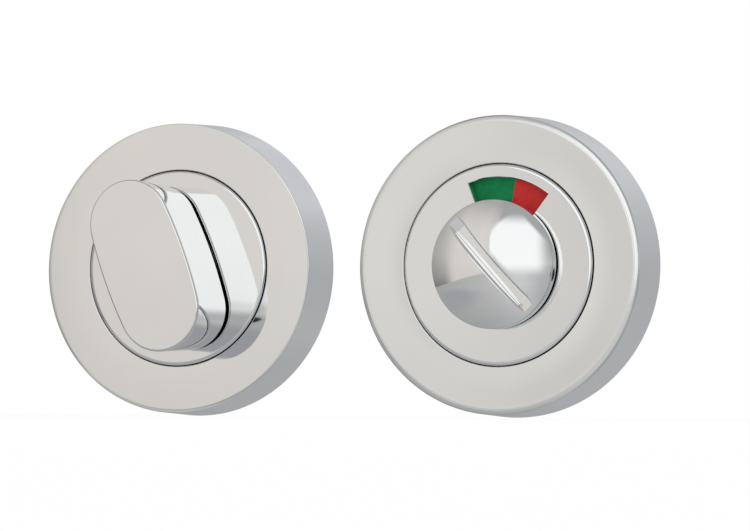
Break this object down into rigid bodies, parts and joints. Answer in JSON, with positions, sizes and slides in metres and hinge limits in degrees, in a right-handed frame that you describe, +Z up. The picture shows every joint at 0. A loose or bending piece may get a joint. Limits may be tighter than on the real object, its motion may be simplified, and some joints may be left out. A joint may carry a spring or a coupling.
{
  "type": "bathroom thumb turn lock",
  "caption": "Round-rose bathroom lock set: obround thumb turn with square spindle for the inside, coin release with vacant and engaged window for the outside.",
  "frame": {"origin": "centre of the thumb turn's rose on its back plane, where it meets the door; the release half stands beside it on the same plane", "axes": "+Z up, -Y out of the door towards the user, +X from the thumb turn half to the release half"},
  "size_m": [0.1127, 0.0679, 0.052],
  "materials": {
    "polished_chrome": "mirror polished plate",
    "zinc_casting": "as cast, zinc plated",
    "plated_steel": "bright zinc plated",
    "spring_steel": "blackened",
    "bush_nylon": "matt",
    "wheel_plastic": "matt",
    "green_paint": "satin",
    "red_paint": "satin"
  },
  "bodies": {
    "door_roses": {"turn_base_plate": "zinc_casting", "turn_rose_cover": "polished_chrome", "turn_centre_disc": "polished_chrome", "turn_snap_ring": "spring_steel", "turn_bush": "bush_nylon", "turn_wave_washer": "spring_steel", "door_bolts": "plated_steel", "release_base_plate": "zinc_casting", "release_posts": "plated_steel", "release_rose_cover": "polished_chrome", "release_centre_disc": "polished_chrome", "release_disc_screws": "plated_steel", "release_bush": "bush_nylon", "release_wave_washer": "spring_steel"},
    "inside_turn": {"thumb_turn_knob": "polished_chrome", "spindle": "plated_steel", "spindle_pin": "plated_steel", "turn_circlip": "spring_steel"},
    "outside_turn": {"coin_turn": "polished_chrome", "indicator_wheel": "wheel_plastic", "green_field": "green_paint", "red_field": "red_paint", "release_circlip": "spring_steel"}
  },
  "joints": [
    {"name": "thumb_turn_hinge", "type": "hinge", "parent": "door_roses", "child": "inside_turn", "pos_m": [0, 0, 0], "axis": [0, 1, 0], "range_deg": [-68.4, 21.6]},
    {"name": "coin_release_hinge", "type": "hinge", "parent": "door_roses", "child": "outside_turn", "pos_m": [0.0607, 0, 0], "axis": [0, 1, 0], "range_deg": [-47.4, 42.6]}
  ]
}
